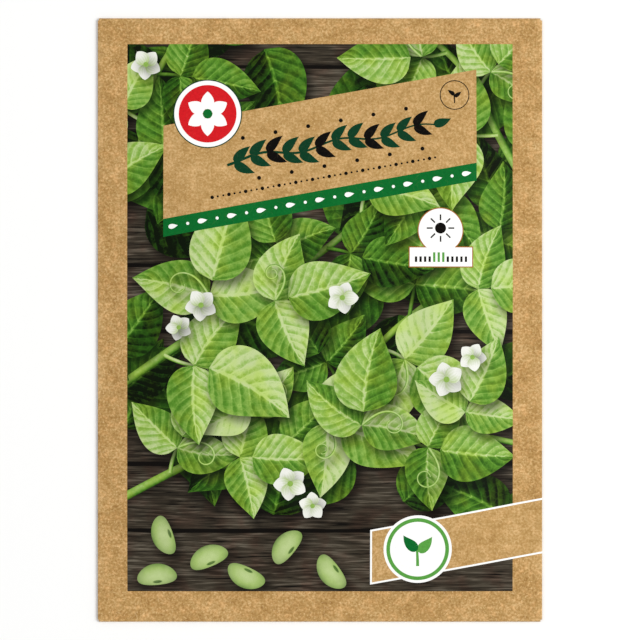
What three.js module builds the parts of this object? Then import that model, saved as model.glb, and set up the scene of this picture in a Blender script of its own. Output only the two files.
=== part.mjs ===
// A sealed paper seed packet lying on its back, with the bean seeds that it holds.
// Millimetres. +Z is up, +Y points to the packet's top edge, and the origin is on the surface under its middle.

import * as THREE from 'three';

// Driving dimensions of the packet
const packetWidth = 120;
const packetHeight = 163;
const paperThickness = 0.15;
const glueGap = 0.1; // between two glued layers of paper
const edgeOpening = 0.15; // room left between front and back along the pressed edges
const seamLap = 12; // how far the two back panels overlap
const bottomFlapDepth = 18;
const topFlapDepth = 24;
const flapLean = 0.45; // how far each side of a flap leans in for every millimetre of its depth
const cornerCut = 0.1; // notch of the blank beside the end of each fold

// How far the seeds lift the front panel, and over what distance from each edge it rises
const fillRise = 6.3;
const fillCrown = 0.1; // share of the rise lost from the middle to the middle of an edge
const sideSlope = 25;
const bottomSlope = 29;
const topSlope = 62;

// Driving dimensions of the seeds
const seedCount = 45;
const seedLength = 11;
const seedWidth = 5.8;
const seedThickness = 4.4;
const seedSpread = 0.07; // share by which one seed differs from another
const seedCurve = 0.16; // how far the ends bend towards the eye, as a share of the width
const seedGap = 0.3; // kept free round each seed
const scatterSeed = 20;
const scatterTries = 20000;

// Fineness of the facets
const frontColumns = 26;
const frontRows = 34;
const bendSteps = 4;
const seedRingPoints = 10;
const seedRings = 6;

// Heights of the middle of the paper: the flaps lie lowest, and each glued layer lies on the one before
const layerStep = paperThickness + glueGap;
const flapLevel = paperThickness / 2;
const rightLevel = flapLevel + layerStep;
const leftLevel = rightLevel + layerStep;
const edgeLevel = leftLevel + paperThickness + edgeOpening;
const chamberFloor = leftLevel + paperThickness / 2;

// Each fold is half a turn from the front panel's edge down to its layer
const leftRadius = (edgeLevel - leftLevel) / 2;
const rightRadius = (edgeLevel - rightLevel) / 2;
const flapRadius = (edgeLevel - flapLevel) / 2;

// Where the front panel ends and the folds begin, so that the folds' outsides meet the packet's size
const frontLeft = packetWidth / 2 - leftRadius - paperThickness / 2;
const frontRight = packetWidth / 2 - rightRadius - paperThickness / 2;
const frontEnd = packetHeight / 2 - flapRadius - paperThickness / 2;

const paperMaterial = new THREE.MeshStandardMaterial({ color: 0xc09a61, roughness: 0.8, metalness: 0 });
const seedMaterial = new THREE.MeshStandardMaterial({ color: 0xe9e0cb, roughness: 0.45, metalness: 0 });

// A rise from 0 to 1 that starts and ends level
function easedRise(share) {
  const t = THREE.MathUtils.clamp(share, 0, 1);
  return t * t * (3 - 2 * t);
}

// Height of the middle of the front panel's paper
function frontHeight(x, y) {
  const sides = easedRise((x + frontLeft) / sideSlope) * easedRise((frontRight - x) / sideSlope);
  const ends = easedRise((y + frontEnd) / bottomSlope) * easedRise((frontEnd - y) / topSlope);
  const crown = 1 - fillCrown * ((x / frontRight) ** 2 + (y / frontEnd) ** 2);
  return edgeLevel + fillRise * sides * ends * crown;
}

// A point of the paper a distance past a fold line: round the fold first, then flat along its layer
function pastFold(distance, radius, level) {
  const turn = Math.min(distance / radius, Math.PI);
  const flatRun = Math.max(distance - Math.PI * radius, 0);
  return {
    outwards: radius * Math.sin(turn) - flatRun,
    height: level + radius * (1 + Math.cos(turn)),
    flatRun,
    normalOutwards: Math.sin(turn),
    normalUp: Math.cos(turn),
  };
}

// Where the flat blank's point (u, v) lies once the blank is folded, with the paper's outward normal there
function foldedPoint(u, v) {
  if (u < -frontLeft || u > frontRight) {
    const onLeft = u < 0;
    const line = onLeft ? -frontLeft : frontRight;
    const away = onLeft ? -1 : 1;
    const fold = onLeft
      ? pastFold(-frontLeft - u, leftRadius, leftLevel)
      : pastFold(u - frontRight, rightRadius, rightLevel);
    return {
      point: new THREE.Vector3(line + away * fold.outwards, v, fold.height),
      normal: new THREE.Vector3(away * fold.normalOutwards, 0, fold.normalUp),
    };
  }
  if (Math.abs(v) > frontEnd) {
    const away = Math.sign(v);
    const fold = pastFold(Math.abs(v) - frontEnd, flapRadius, flapLevel);
    const narrowing = 1 - (flapLean * fold.flatRun) / frontRight;
    return {
      point: new THREE.Vector3(u * narrowing, away * (frontEnd + fold.outwards), fold.height),
      normal: new THREE.Vector3(0, away * fold.normalOutwards, fold.normalUp),
    };
  }
  const nudge = 0.01;
  const slopeX = (frontHeight(u + nudge, v) - frontHeight(u - nudge, v)) / (2 * nudge);
  const slopeY = (frontHeight(u, v + nudge) - frontHeight(u, v - nudge)) / (2 * nudge);
  return {
    point: new THREE.Vector3(u, v, frontHeight(u, v)),
    normal: new THREE.Vector3(-slopeX, -slopeY, 1).normalize(),
  };
}

function evenSteps(from, to, count) {
  return Array.from({ length: count + 1 }, (_, i) => from + ((to - from) * i) / count);
}

// Grid lines across the blank, from one panel's free edge to the other's
function blankLines(low, high, lowBend, highBend, lowPanel, highPanel, frontCount) {
  return [
    -low - lowBend - lowPanel,
    ...evenSteps(-low - lowBend, -low, bendSteps),
    ...evenSteps(-low + cornerCut, high - cornerCut, frontCount),
    ...evenSteps(high, high + highBend, bendSteps),
    high + highBend + highPanel,
  ];
}

// The whole packet: one flat blank with four tongues, folded, and closed round its cut edge
function packetGeometry() {
  const flapBend = Math.PI * flapRadius;
  const uLines = blankLines(
    frontLeft, frontRight, Math.PI * leftRadius, Math.PI * rightRadius,
    frontLeft + seamLap / 2, frontRight + seamLap / 2, frontColumns,
  );
  const vLines = blankLines(frontEnd, frontEnd, flapBend, flapBend, bottomFlapDepth, topFlapDepth, frontRows);

  const inBlank = (column, row) => {
    if (column < 0 || row < 0 || column >= uLines.length - 1 || row >= vLines.length - 1) return false;
    const u = (uLines[column] + uLines[column + 1]) / 2;
    const v = (vLines[row] + vLines[row + 1]) / 2;
    const acrossFront = u > -frontLeft && u < frontRight;
    const alongFront = Math.abs(v) < frontEnd;
    const onSidePanel = !acrossFront && Math.abs(v) < frontEnd - cornerCut;
    const onFlap = !alongFront && u > -frontLeft + cornerCut && u < frontRight - cornerCut;
    return (acrossFront && alongFront) || onSidePanel || onFlap;
  };

  const positions = [];
  for (const v of vLines) {
    for (const u of uLines) {
      const { point, normal } = foldedPoint(u, v);
      const outside = point.clone().addScaledVector(normal, paperThickness / 2);
      const inside = point.clone().addScaledVector(normal, -paperThickness / 2);
      positions.push(...outside, ...inside);
    }
  }
  const outer = (column, row) => 2 * (row * uLines.length + column);
  const inner = (column, row) => outer(column, row) + 1;

  const triangles = [];
  const addQuad = (a, b, c, d) => triangles.push(a, b, c, a, c, d);
  const addRim = (fromColumn, fromRow, toColumn, toRow) => addQuad(
    outer(fromColumn, fromRow), inner(fromColumn, fromRow), inner(toColumn, toRow), outer(toColumn, toRow),
  );
  for (let row = 0; row < vLines.length - 1; row++) {
    for (let column = 0; column < uLines.length - 1; column++) {
      if (!inBlank(column, row)) continue;
      const right = column + 1;
      const top = row + 1;
      addQuad(outer(column, row), outer(right, row), outer(right, top), outer(column, top));
      addQuad(inner(column, row), inner(column, top), inner(right, top), inner(right, row));
      if (!inBlank(column, row - 1)) addRim(column, row, right, row);
      if (!inBlank(column + 1, row)) addRim(right, row, right, top);
      if (!inBlank(column, row + 1)) addRim(right, top, column, top);
      if (!inBlank(column - 1, row)) addRim(column, top, column, row);
    }
  }
  const geometry = new THREE.BufferGeometry();
  geometry.setAttribute('position', new THREE.Float32BufferAttribute(positions, 3));
  geometry.setIndex(triangles);
  geometry.computeVertexNormals();
  return geometry;
}

// One bean lying on its flat side: a long egg whose ends bend towards the eye
function beanGeometry(length, width, thickness) {
  const bean = new THREE.SphereGeometry(0.5, seedRingPoints, seedRings).rotateZ(Math.PI / 2);
  const places = bean.getAttribute('position');
  for (let i = 0; i < places.count; i++) {
    const along = places.getX(i);
    const bent = places.getY(i) + seedCurve * (0.5 - 4 * along * along);
    places.setXYZ(i, along * length, bent * width, places.getZ(i) * thickness);
  }
  bean.computeVertexNormals();
  return bean;
}

// Repeatable draws from 0 to 1
function seededRandom(state) {
  return () => {
    state = (state + 0x6d2b79f5) | 0;
    let mixed = Math.imul(state ^ (state >>> 15), 1 | state);
    mixed = (mixed + Math.imul(mixed ^ (mixed >>> 7), 61 | mixed)) ^ mixed;
    return ((mixed ^ (mixed >>> 14)) >>> 0) / 4294967296;
  };
}

// The least distance between two seeds' backbones, taken at a few points along each
function backboneGap(one, other) {
  const stations = evenSteps(-1, 1, 6);
  const pointAt = (seed, share) => new THREE.Vector2(Math.cos(seed.yaw), Math.sin(seed.yaw))
    .multiplyScalar(share * (seedLength - seedWidth) / 2)
    .add(new THREE.Vector2(seed.x, seed.y));
  const along = stations.map((share) => pointAt(other, share));
  return Math.min(...stations.flatMap((share) => along.map((place) => place.distanceTo(pointAt(one, share)))));
}

// Seeds come to rest in one loose layer, wherever the front panel stands high enough over them
function scatteredSeeds() {
  const random = seededRandom(scatterSeed);
  const reach = seedLength / 2;
  const roomNeeded = chamberFloor + seedThickness * (1 + seedSpread) + 2 * seedGap + paperThickness / 2;
  const keptApart = seedWidth * (1 + seedSpread) * (1 + seedCurve / 2) + seedGap;
  const seeds = [];
  for (let tries = 0; seeds.length < seedCount && tries < scatterTries; tries++) {
    const seed = {
      x: (random() - 0.5) * packetWidth,
      y: (random() - 0.5) * packetHeight,
      yaw: random() * 2 * Math.PI,
      scale: 1 + seedSpread * (2 * random() - 1),
    };
    const covered = [-reach, reach].every((dx) => [-reach, reach].every(
      (dy) => frontHeight(seed.x + dx, seed.y + dy) > roomNeeded,
    ));
    if (covered && seeds.every((other) => backboneGap(seed, other) > keptApart)) seeds.push(seed);
  }
  if (seeds.length < seedCount) throw new Error(`only ${seeds.length} seeds fit in the packet`);
  return seeds;
}

const packet = new THREE.Group();

const paper = new THREE.Mesh(packetGeometry(), paperMaterial);
paper.name = 'packet_paper';
packet.add(paper);

scatteredSeeds().forEach((seed, i) => {
  const thickness = seedThickness * seed.scale;
  const bean = new THREE.Mesh(
    beanGeometry(seedLength * seed.scale, seedWidth * seed.scale, thickness),
    seedMaterial,
  );
  bean.name = `bean_seed_${String(i + 1).padStart(2, '0')}`;
  bean.position.set(seed.x, seed.y, chamberFloor + seedGap + thickness / 2);
  bean.rotation.z = seed.yaw;
  packet.add(bean);
});

export default packet;
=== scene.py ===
"""A folded and printed paper seed packet with its bean seeds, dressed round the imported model.

The print is drawn in millimetres on the flat blank, cut into the blank's mesh and then folded with it.
"""

import math
from collections import namedtuple
from functools import reduce
from types import SimpleNamespace

import bpy
import numpy as np
from mathutils.geometry import delaunay_2d_cdt
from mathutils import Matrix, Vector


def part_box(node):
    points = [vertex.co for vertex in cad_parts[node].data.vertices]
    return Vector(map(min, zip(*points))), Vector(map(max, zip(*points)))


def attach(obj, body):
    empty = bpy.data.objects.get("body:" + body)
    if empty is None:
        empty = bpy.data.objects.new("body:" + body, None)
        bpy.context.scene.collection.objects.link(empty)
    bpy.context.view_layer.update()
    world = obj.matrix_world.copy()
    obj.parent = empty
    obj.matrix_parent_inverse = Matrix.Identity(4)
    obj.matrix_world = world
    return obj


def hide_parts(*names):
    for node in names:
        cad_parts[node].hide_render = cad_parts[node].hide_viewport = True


bl_info = {
    "name": "Seed packet",
    "version": (1, 0, 0),
    "blender": (4, 5, 0),
    "location": "View3D > Sidebar > Seed packet",
    "description": "Folds and prints a paper seed packet, fills it with bean seeds and sets its stage",
    "category": "Object",
}

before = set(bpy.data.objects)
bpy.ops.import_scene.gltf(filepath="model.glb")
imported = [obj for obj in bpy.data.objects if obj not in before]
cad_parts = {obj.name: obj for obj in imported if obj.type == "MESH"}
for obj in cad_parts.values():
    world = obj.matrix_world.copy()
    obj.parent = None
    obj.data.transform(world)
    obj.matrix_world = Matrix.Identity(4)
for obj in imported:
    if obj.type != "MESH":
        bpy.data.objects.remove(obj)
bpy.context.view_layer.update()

MM = 0.001
TURN = 2 * math.pi
UV_SPAN = 100.0  # millimetres of blank to one unit of its texture coordinates
LIGHT_LEVEL = 1.17  # how much brighter the stage shows a flat sheet than its own colour
PAPER_NODE = "packet_paper"
SEED_NODES = sorted(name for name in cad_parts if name.startswith("bean_seed_"))
PAPER_LOW, PAPER_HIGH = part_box(PAPER_NODE)


def linear(red, green, blue):
    """A colour given in the usual 0 to 255 steps, as the linear values that the shaders take."""
    shares = (np.array((red, green, blue)) / 255 + 0.055) / 1.055
    return tuple(float(share) for share in shares ** 2.4)


def length(name, description, millimetres):
    """A size that a user may change, stored in metres."""
    return bpy.props.FloatProperty(
        name=name, description=description, default=millimetres * MM, unit="LENGTH", precision=5)


def ratio(name, description, default, unit="NONE"):
    """A plain number that a user may change."""
    return bpy.props.FloatProperty(
        name=name, description=description, default=default, unit=unit, precision=3)


def colour(name, description, red, green, blue, level=LIGHT_LEVEL):
    """A colour that a user may change, given as it looks under the stage's light."""
    return bpy.props.FloatVectorProperty(
        name=name, description=description, subtype="COLOR", size=3, min=0, max=1,
        default=[share / level for share in linear(red, green, blue)])


class PacketSizes(bpy.types.PropertyGroup):
    """Sizes of the folded paper."""

    width: length("Width", "Across the packet, from fold to fold", (PAPER_HIGH.x - PAPER_LOW.x) / MM)
    height: length("Height", "From the bottom fold to the top fold", (PAPER_HIGH.y - PAPER_LOW.y) / MM)
    thickness: length("Paper", "Thickness of the paper", 0.15)
    glue_gap: length("Glue", "Between two glued layers of paper", 0.1)
    edge_opening: length("Edge opening", "Room between front and back along the pressed edges", 0.15)
    seam_lap: length("Seam lap", "How far the two back panels overlap", 12)
    bottom_flap: length("Bottom flap", "Depth of the bottom flap", 18)
    top_flap: length("Top flap", "Depth of the top flap", 24)
    flap_lean: ratio("Flap lean", "How far a flap's side leans in for its depth", 0.45)
    corner_cut: length("Corner cut", "Notch of the blank beside the end of each fold", 0.1)
    fill_rise: length("Fill rise", "How far the seeds lift the front panel", 6.3)
    fill_crown: ratio("Fill crown", "Share of the rise lost from the middle to an edge", 0.1)
    side_slope: length("Side slope", "Over what distance the front rises from a side", 25)
    bottom_slope: length("Bottom slope", "Over what distance the front rises from the bottom", 29)
    top_slope: length("Top slope", "Over what distance the front falls to the top", 62)
    sag: length("Sag", "How far the front sinks between the seeds", 0.9)
    ripple: length("Ripple", "Height of the loose waves in the front panel", 0.24)


class PrintSizes(bpy.types.PropertyGroup):
    """Sizes of the printed front."""

    side_margin: length("Side margin", "Bare paper left and right of the picture", 8.0)
    top_margin: length("Top margin", "Bare paper over the picture", 7.0)
    bottom_margin: length("Bottom margin", "Bare paper under the picture", 8.3)
    slant: ratio("Slant", "Rise of the banner and the band for each step to the right", 0.18)
    banner_half: length("Banner half width", "From the middle of the banner to its upright ends", 42.2)
    banner_top: length("Banner top", "Height of the banner's top edge over the packet's middle", 60.0)
    strip_top: length("Strip top", "Height of the green strip's top edge", 34.8)
    strip_bottom: length("Strip bottom", "Height of the green strip's bottom edge", 29.95)
    roundel_radius: length("Roundel radius", "Outer radius of the red roundel", 9.3)
    seal_radius: length("Seal radius", "Outer radius of the white and green seal", 9.2)
    leaf_size: length("Leaf size", "Length of a leaflet in the picture", 26)


class PrintColours(bpy.types.PropertyGroup):
    """Colours of the paper, its inks and the seeds."""

    kraft_dark: colour("Kraft, dark", "Darkest mottling of the paper", 158, 114, 58)
    kraft: colour("Kraft", "The paper itself", 193, 153, 93)
    kraft_light: colour("Kraft, light", "Lightest fibres of the paper", 243, 207, 152)
    kraft_warm: colour("Kraft, warm", "Redder patches of the paper", 200, 146, 84)
    leaf_deep: colour("Leaf, deep", "Leaves in deep shade", 8, 20, 2)
    leaf_dark: colour("Leaf, dark", "Leaves in half shade", 46, 92, 20)
    leaf: colour("Leaf", "Leaves in open light", 92, 146, 44)
    leaf_light: colour("Leaf, light", "Young leaves and stems", 150, 190, 88)
    leaf_pale: colour("Leaf, pale", "Veins and bright edges of leaves", 202, 220, 156)
    leaf_warm: colour("Leaf, warm", "Yellower leaves", 142, 170, 40)
    board_dark: colour("Board, dark", "Gaps and dark grain of the printed boards", 14, 11, 8)
    board: colour("Board", "The printed boards", 66, 59, 48)
    board_light: colour("Board, light", "Weathered grain of the printed boards", 116, 108, 94)
    board_warm: colour("Board, warm", "Redder boards", 112, 78, 64)
    petal: colour("Petal", "Printed blossoms", 246, 247, 238)
    petal_blush: colour("Petal blush", "Heart of the printed blossoms", 178, 202, 128)
    bean: colour("Printed bean", "Seeds in the picture", 168, 196, 112)
    strip_green: colour("Strip green", "Ink of the slanted strip", 8, 113, 46)
    seal_green: colour("Seal green", "Ink of the seal's ring", 96, 172, 74)
    sprig_green: colour("Sprig green", "Ink of the sprig on the banner", 10, 64, 38)
    white: colour("White", "White ink", 255, 255, 252, level=1.06)
    red: colour("Red", "Ink of the roundel", 226, 30, 38)
    black: colour("Black", "Ink of fine dark lines", 10, 7, 5)
    brown: colour("Brown", "Ink of the badge's outline", 176, 110, 52)
    seed_coat: colour("Seed coat", "The seeds in the packet", 233, 224, 203)
    seed_eye: colour("Seed eye", "Eye of the seeds in the packet", 120, 84, 52)


class StageSettings(bpy.types.PropertyGroup):
    """The floor, the camera and the lights."""

    floor: colour("Floor", "The pale floor", 246, 246, 245, level=1.0)
    view_width: length("View width", "What the camera takes in at the packet's edge", 172.9)
    lens: ratio("Lens", "Focal length of the camera in millimetres", 240)
    key_power: ratio("Key light", "Power of the large light at the right", 15.0, "POWER")
    fill_power: ratio("Fill light", "Power of the large light at the left", 2.5, "POWER")
    sky: ratio("Sky", "Strength of the even light from all round", 0.6)


def in_millimetres(settings):
    """A group's settings as plain numbers, its lengths in millimetres."""
    kinds = settings.bl_rna.properties
    return SimpleNamespace(**{
        name: getattr(settings, name) / (MM if kinds[name].unit == "LENGTH" else 1)
        for name in settings.__annotations__})


def eased(share):
    """A rise from 0 to 1 that starts and ends level."""
    t = np.clip(share, 0, 1)
    return t * t * (3 - 2 * t)


def unit(angle):
    """The direction that an angle points in, or one for each of several angles."""
    return np.stack((np.cos(angle), np.sin(angle)), -1)


def heading_at(line, index):
    """The angle at which a line of points arrives at one of them."""
    run = line[index] - line[index - 1]
    return math.atan2(run[1], run[0])


def within(points, low, high):
    """Which points lie inside a window."""
    return ((points > low) & (points < high)).all(-1)


def rectangle(left, bottom, right, top):
    """The four corners of an upright rectangle."""
    return np.array(((left, bottom), (right, bottom), (right, top), (left, top)), float)


class BeanPlace:
    """Where one seed lies in the frame, in millimetres: its middle, its heading and its size."""

    end_share = 0.6  # past this share of its half length a point is at a bean's end

    def __init__(self, node):
        places = np.array([tuple(v.co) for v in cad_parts[node].data.vertices]) / MM
        flat = places[:, :2] - places[:, :2].mean(0)
        heading = np.linalg.eigh(flat.T @ flat)[1][:, 1]
        side = np.array((-heading[1], heading[0]))
        reach = np.abs(flat @ heading)
        if (flat[reach > self.end_share * reach.max()] @ side).mean() > 0:
            heading, side = -heading, -side
        self.axes = np.array(((*heading, 0), (*side, 0), (0, 0, 1)))
        spans = places @ self.axes.T
        low, high = spans.min(0), spans.max(0)
        self.centre = (low + high) / 2 @ self.axes
        self.halves = (high - low) / 2


# One fold of the blank: the axis that it crosses and which way, where it starts, its radius,
# the level of the layer that it leads to, and where that layer's paper ends on the flat blank
Fold = namedtuple("Fold", "axis away line radius level free")


class FoldedBlank:
    """The packet's paper in millimetres: flat as a blank (u, v), and folded round its seeds."""

    bend_steps = 6
    ripple_waves = 7
    wave_lengths, wave_phases = (24, 60), (0, 6.28)
    wave_draws = 11  # starts the waves' random draws
    held_past = (0.6, 0.8)  # how far past a seed's half length and half width it holds the paper up
    held_share = 0.92  # how much of the sag a seed takes away
    loose_share = 0.8  # share of the full rise from which the front hangs loose
    slope_step = 0.02  # how far to each side a slope is measured
    glue_depth = 9.0  # how far in from a free edge the glue reaches
    frayed_depth = 0.7  # how far in from a free edge the cut paper is paler

    def __init__(self, sizes, beans):
        self.sizes, self.beans = sizes, beans
        layer = sizes.thickness + sizes.glue_gap
        flap_level = sizes.thickness / 2
        right_level = flap_level + layer
        left_level = right_level + layer
        self.edge_level = left_level + sizes.thickness + sizes.edge_opening
        self.folds = []
        for axis, away, size, level, flap in (
                (0, -1, sizes.width, left_level, None),
                (0, 1, sizes.width, right_level, None),
                (1, -1, sizes.height, flap_level, sizes.bottom_flap),
                (1, 1, sizes.height, flap_level, sizes.top_flap)):
            radius = (self.edge_level - level) / 2
            line = size / 2 - radius - sizes.thickness / 2
            panel = flap or line + sizes.seam_lap / 2
            free = away * (line + math.pi * radius + panel)
            self.folds.append(Fold(axis, away, line, radius, level, free))
        left, right, bottom, top = self.folds
        self.left, self.right, self.end = left.line, right.line, top.line
        self.low, self.high = np.array((-left.line, -bottom.line)), np.array((right.line, top.line))
        self.free_low = np.array((left.free, bottom.free))
        self.free_high = np.array((right.free, top.free))
        draws = np.random.default_rng(self.wave_draws)
        self.waves = [
            (unit(draws.uniform(0, math.pi)) * TURN / draws.uniform(*self.wave_lengths),
             draws.uniform(*self.wave_phases))
            for _ in range(self.ripple_waves)]

    def fill(self, x, y):
        """How far the front stands up at each place, as a share of the full rise."""
        sizes = self.sizes
        sides = eased((x + self.left) / sizes.side_slope) * eased((self.right - x) / sizes.side_slope)
        ends = eased((y + self.end) / sizes.bottom_slope) * eased((self.end - y) / sizes.top_slope)
        crown = 1 - sizes.fill_crown * ((x / self.right) ** 2 + (y / self.end) ** 2)
        return sides * ends * crown

    def bare(self, x, y):
        """How far the paper is from lying on a seed: 0 on top of one, 1 between them."""
        points = np.column_stack((x, y))
        bare = np.ones_like(x)
        for bean in self.beans:
            offset = (points - bean.centre[:2]) @ bean.axes[:2, :2].T
            near = ((offset / (bean.halves[:2] + self.held_past)) ** 2).sum(1)
            bare = bare * (1 - self.held_share * np.exp(-near))
        return bare

    def front_height(self, x, y):
        """Height of the middle of the front panel's paper, with its sag between seeds and its ripple."""
        fill = self.fill(x, y)
        waves = sum(np.sin(x * wave[0] + y * wave[1] + phase) for wave, phase in self.waves)
        relief = self.sizes.ripple * waves / self.ripple_waves ** 0.5 - self.sizes.sag * self.bare(x, y)
        return self.edge_level + self.sizes.fill_rise * fill + relief * eased(fill / self.loose_share)

    def fold(self, blank):
        """Places and outward normals of points of the blank once it is folded."""
        places = np.column_stack((blank, np.zeros(len(blank))))
        normals = np.zeros_like(places)
        front = ((blank >= self.low) & (blank <= self.high)).all(1)
        x, y = blank[front].T
        step = self.slope_step
        places[front, 2] = self.front_height(x, y)
        normals[front, 0] = self.front_height(x - step, y) - self.front_height(x + step, y)
        normals[front, 1] = self.front_height(x, y - step) - self.front_height(x, y + step)
        normals[front, 2] = 2 * step
        for axis, away, line, radius, level, _ in self.folds:
            distance = away * blank[:, axis] - line
            past = distance > 0
            turn = np.minimum(distance[past] / radius, math.pi)
            flat_run = np.maximum(distance[past] - math.pi * radius, 0)
            places[past, axis] = away * (line + radius * np.sin(turn) - flat_run)
            places[past, 2] = level + radius * (1 + np.cos(turn))
            normals[past, axis] = away * np.sin(turn)
            normals[past, 2] = np.cos(turn)
            if axis == 1:
                places[past, 0] *= 1 - self.sizes.flap_lean * flat_run / self.right
        return places, normals / np.linalg.norm(normals, axis=1, keepdims=True)

    def holds(self, points):
        """Which points of the plane lie on the blank."""
        found = within(points, self.low, self.high)
        for axis in (0, 1):
            low, high = self.low + self.sizes.corner_cut, self.high - self.sizes.corner_cut
            low[axis], high[axis] = self.free_low[axis], self.free_high[axis]
            found |= within(points, low, high)
        return found

    def lines(self):
        """The blank's cut edges, its fold lines and the lines that round each fold, as point pairs."""
        (left, bottom), (right, top) = self.low, self.high
        (free_left, free_bottom), (free_right, free_top) = self.free_low, self.free_high
        inner_low, inner_high = self.low + self.sizes.corner_cut, self.high - self.sizes.corner_cut
        found = []
        for axis, away, line, radius, _, free in self.folds:
            turns = np.linspace(0, math.pi, self.bend_steps + 1)
            for place in (*(away * (line + turns * radius)), free):
                ends = [inner_low.copy(), inner_high.copy()]
                for end in ends:
                    end[axis] = place
                found.append(ends)
        for v in (inner_low[1], inner_high[1]):
            found += [((free_left, v), (left, v)), ((right, v), (free_right, v))]
        for u in (inner_low[0], inner_high[0]):
            found += [((u, free_bottom), (u, bottom)), ((u, top), (u, free_top))]
        found += [((u, bottom), (u, top)) for u in (left, right)]
        return found + [((left, v), (right, v)) for v in (bottom, top)]

    def panels(self):
        """The lowest and highest corner of the front and of each panel past a fold."""
        found = [(self.low, self.high)]
        for axis, away, line, _, _, free in self.folds:
            low, high = self.low.copy(), self.high.copy()
            low[axis], high[axis] = sorted((away * line, free))
            found.append((low, high))
        return found


class Motif:
    """One printed shape on the blank: its ink, its outline and how its own coordinates run."""

    def __init__(self, ink, outline, tint=0.5, casts=0.0, in_picture=False, framed=False):
        self.ink = ink
        self.outline = np.asarray(outline, float)
        self.tint = tint
        self.casts = casts  # how dark the shadow is that it throws on what lies under it
        self.in_picture = in_picture  # it is cut off at the picture's edge
        self.framed = framed  # its whole outline is cut, also where other shapes lie over it
        self.low, self.high = self.outline.min(0), self.outline.max(0)

    def coordinates(self, points):
        """How far each point lies along and across the shape."""
        return ((points - self.low) / (self.high - self.low)).T

    def near(self, points, margin=0.0):
        """Which points lie in the shape's own rectangle, or so near to it."""
        return within(points, self.low - margin, self.high + margin)

    def holds(self, points):
        """Which points lie inside the outline."""
        inside = np.zeros(len(points), bool)
        near = self.near(points)
        x, y = points[near].T[:, :, None]
        (start_x, start_y), (stop_x, stop_y) = self.outline.T, np.roll(self.outline, -1, 0).T
        crosses = (start_y > y) != (stop_y > y)
        rise = np.where(start_y == stop_y, 1, stop_y - start_y)
        crossing = start_x + (y - start_y) / rise * (stop_x - start_x)
        inside[near] = (crosses & (x < crossing)).sum(1) % 2 == 1
        return inside

    def depth(self, points):
        """How far inside the outline each point lies, and less than 0 outside it."""
        edge = np.roll(self.outline, -1, 0) - self.outline
        offset = points[:, None] - self.outline[None]
        share = (offset * edge).sum(2) / np.maximum((edge ** 2).sum(1), 1e-9)
        gap = offset - np.clip(share, 0, 1)[:, :, None] * edge
        distance = np.sqrt((gap ** 2).sum(2).min(1))
        return np.where(self.holds(points), distance, -distance)


class Blade(Motif):
    """A printed shape that runs along a spine: a leaf, a stem, a tendril or a petal."""

    least_half = 0.02

    def __init__(self, ink, spine, halves, **settings):
        self.spine = np.asarray(spine, float)
        self.halves = np.maximum(halves, self.least_half)
        tangent = np.gradient(self.spine, axis=0)
        self.tangent = tangent / np.linalg.norm(tangent, axis=1, keepdims=True)
        self.side = np.column_stack((-self.tangent[:, 1], self.tangent[:, 0]))
        self.span = np.linalg.norm(np.diff(self.spine, axis=0), axis=1).sum()
        reach = self.side * self.halves[:, None]
        super().__init__(ink, np.vstack((self.spine + reach, (self.spine - reach)[::-1])), **settings)

    def coordinates(self, points):
        offset = points[:, None] - self.spine[None]
        nearest = (offset ** 2).sum(2).argmin(1)
        chosen = offset[np.arange(len(points)), nearest]
        steps = np.linspace(0, 1, len(self.spine))
        along = np.clip(steps[nearest] + (chosen * self.tangent[nearest]).sum(1) / self.span, 0, 1)
        across = (chosen * self.side[nearest]).sum(1) / np.interp(along, steps, self.halves)
        return along, np.clip(across, -1, 1)


class Disc(Motif):
    """A printed disc. Its coordinates are the share of its radius and the angle."""

    fewest, most = 12, 64
    points_per_mm = 16  # of its radius

    def __init__(self, ink, centre, radius, **settings):
        self.centre = np.asarray(centre, float)
        self.radius = radius
        count = max(self.fewest, min(self.most, int(radius * self.points_per_mm)))
        ring = unit(np.linspace(0, TURN, count, endpoint=False))
        super().__init__(ink, self.centre + radius * ring, **settings)

    def coordinates(self, points):
        x, y = (points - self.centre).T
        return np.hypot(x, y) / self.radius, np.arctan2(y, x) / math.pi


class PrintedBean(Motif):
    """A bean seen from its side, with coordinates along its length and its width."""

    points = 40
    curve = 0.3

    def __init__(self, centre, heading, halves, **settings):
        self.centre = np.asarray(centre, float)
        self.axes = unit(np.array((heading, heading + math.pi / 2)))
        self.halves = np.array(halves)
        ring = unit(np.linspace(0, TURN, self.points, endpoint=False))
        ring[:, 1] += self.curve * (0.5 - ring[:, 0] ** 2)
        super().__init__("bean", self.centre + ring * self.halves @ self.axes, **settings)

    def coordinates(self, points):
        return ((points - self.centre) @ self.axes.T / self.halves).T


def arc_spine(base, heading, span, bend, count=28):
    """A spine that leaves its base in one direction and turns evenly by the bend."""
    steps = unit(heading + bend * np.linspace(0, 1, count - 1)) * span / (count - 1)
    return np.vstack((base, base + np.cumsum(steps, 0)))


def smooth_spine(stations, spacing=1.2):
    """A smooth curve through a few stations."""
    stations = np.asarray(stations, float)
    ends = np.vstack((2 * stations[0] - stations[1], stations, 2 * stations[-1] - stations[-2]))
    curve = []
    for before, start, stop, after in zip(ends, ends[1:], ends[2:], ends[3:]):
        count = max(2, int(np.linalg.norm(stop - start) / spacing))
        for t in np.linspace(0, 1, count, endpoint=False):
            curve.append(0.5 * (2 * start + (stop - before) * t
                                + (2 * before - 5 * start + 4 * stop - after) * t ** 2
                                + (3 * start - before - 3 * stop + after) * t ** 3))
    return np.array(curve + [stations[-1]])


def leaf_halves(width, count=28):
    """Half widths of a leaflet: round at its base, widest at a third, drawn out to its tip."""
    t = np.linspace(0, 1, count)
    swell, taper = 0.55, 1.1
    peak = swell / (swell + taper)
    return width / 2 * (t / peak) ** swell * ((1 - t) / (1 - peak)) ** taper


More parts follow.
